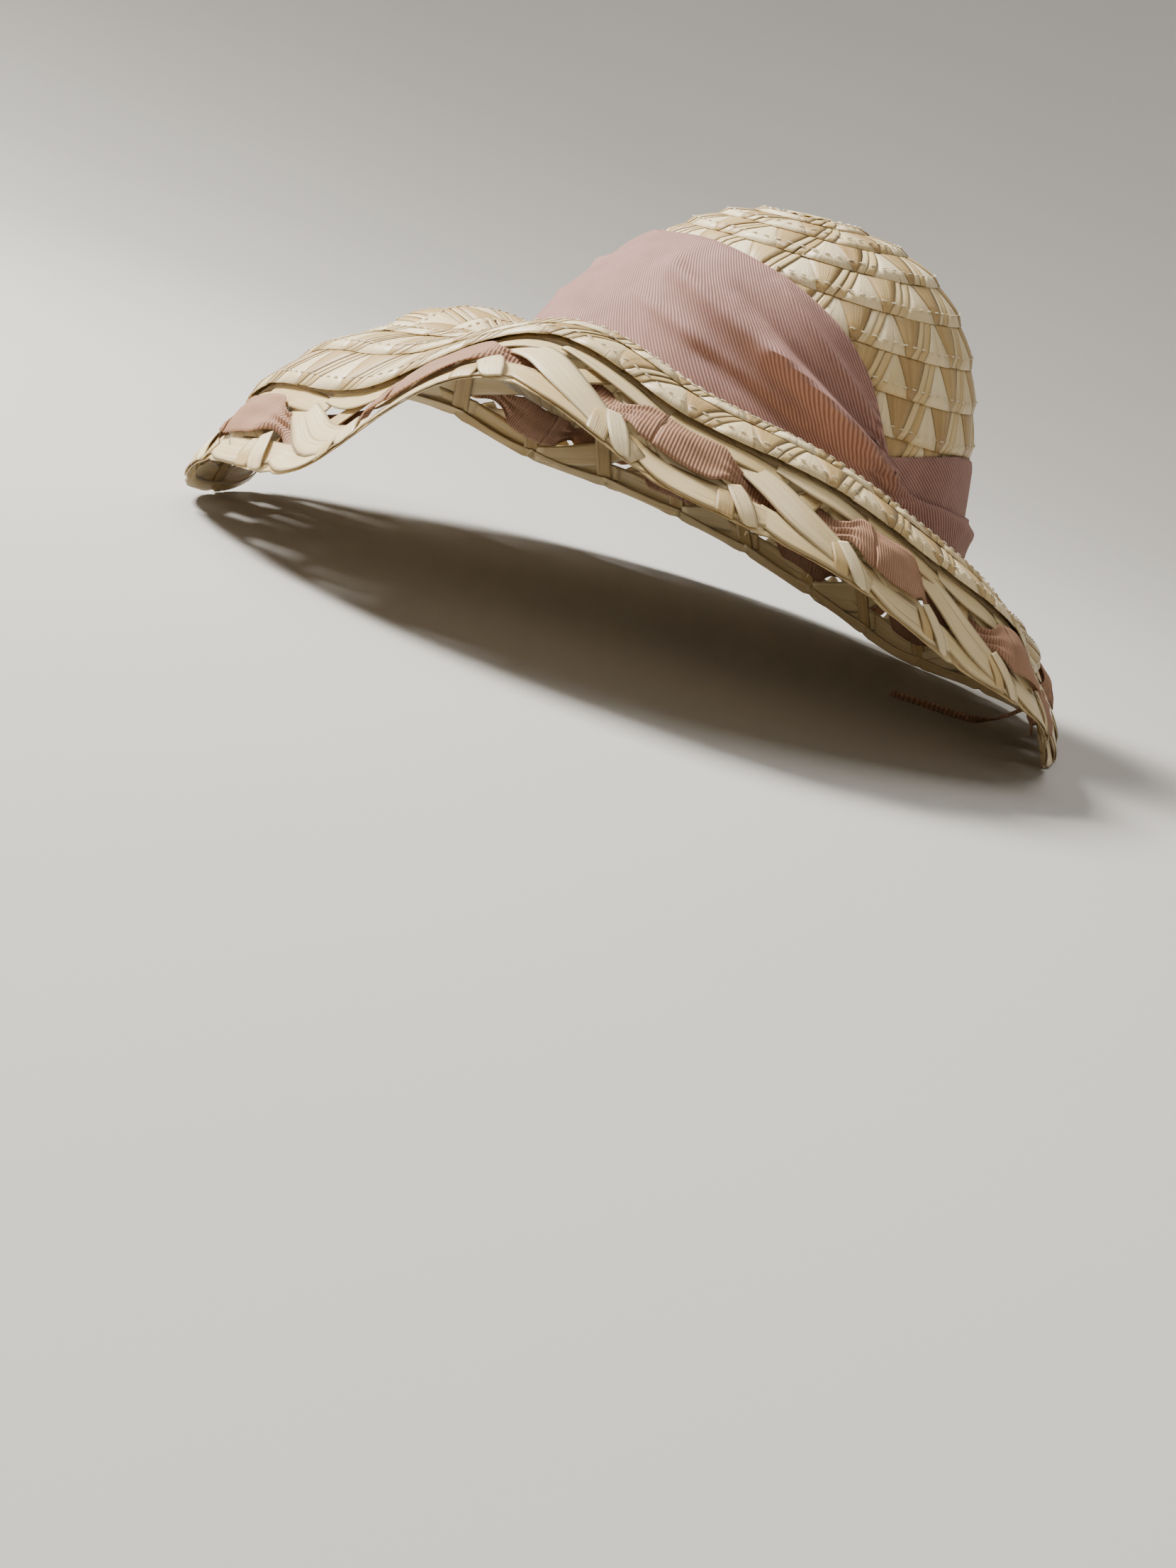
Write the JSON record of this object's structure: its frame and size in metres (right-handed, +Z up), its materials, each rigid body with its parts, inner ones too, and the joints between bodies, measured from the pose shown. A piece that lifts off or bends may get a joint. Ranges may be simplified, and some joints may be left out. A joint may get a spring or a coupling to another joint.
{
  "type": "wide brim straw hat",
  "caption": "Wide waved-brim sun hat of sewn straw braid with an open-work rim, a draped cloth band round the crown and a ribbon threaded through the rim.",
  "frame": {"origin": "on the resting surface, below the middle of the hat's box", "axes": "+Z up with the hat resting on its brim, -Y the way the wearer looks, +X the wearer's left"},
  "size_m": [0.3632, 0.3758, 0.1722],
  "materials": {
    "crown_straw": "natural palm straw braid, slightly glossy",
    "brim_straw": "natural palm straw braid, slightly glossy",
    "edge_straw": "wide loose palm straw strips",
    "rose_cloth": "dusty rose-brown ribbed cloth",
    "brown_ribbon": "brown ribbed ribbon"
  },
  "bodies": {
    "root": {"crown": "crown_straw", "brim": "brim_straw", "edge_braid": "edge_straw", "crown_band": "rose_cloth", "band_tuck": "rose_cloth", "edge_ribbon": "brown_ribbon", "ribbon_tail": "brown_ribbon"}
  },
  "joints": []
}
